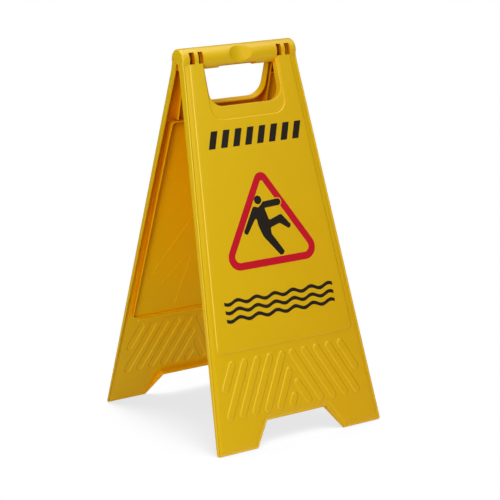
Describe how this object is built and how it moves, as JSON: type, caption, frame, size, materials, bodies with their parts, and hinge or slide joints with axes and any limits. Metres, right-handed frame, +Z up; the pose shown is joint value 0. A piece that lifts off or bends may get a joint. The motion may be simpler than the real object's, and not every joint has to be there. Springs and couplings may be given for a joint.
{
  "type": "wet floor sign",
  "caption": "Folding A-frame floor safety sign: two tapered moulded panels hinged at the top under a round carrying handle with a hand opening.",
  "frame": {"origin": "on the floor, midway between the feet, under the hinge axis", "axes": "+Z up, +X across the sign along the hinge axis, -Y towards the front panel"},
  "size_m": [0.3064, 0.338, 0.5924],
  "materials": {
    "panel_plastic": "satin moulded polypropylene, yellow",
    "pin_plastic": "smooth moulded plastic, yellow",
    "red_print": "flat screen-printed red ink",
    "black_print": "flat screen-printed black ink"
  },
  "bodies": {
    "front": {"front_panel": "panel_plastic", "hinge_pin_left": "pin_plastic", "hinge_pin_right": "pin_plastic"},
    "rear": {"rear_panel": "panel_plastic"}
  },
  "joints": [
    {"name": "fold", "type": "hinge", "parent": "front", "child": "rear", "pos_m": [0, 0, 0.57526], "axis": [-1, 0, 0], "range_deg": [0, 30]}
  ]
}
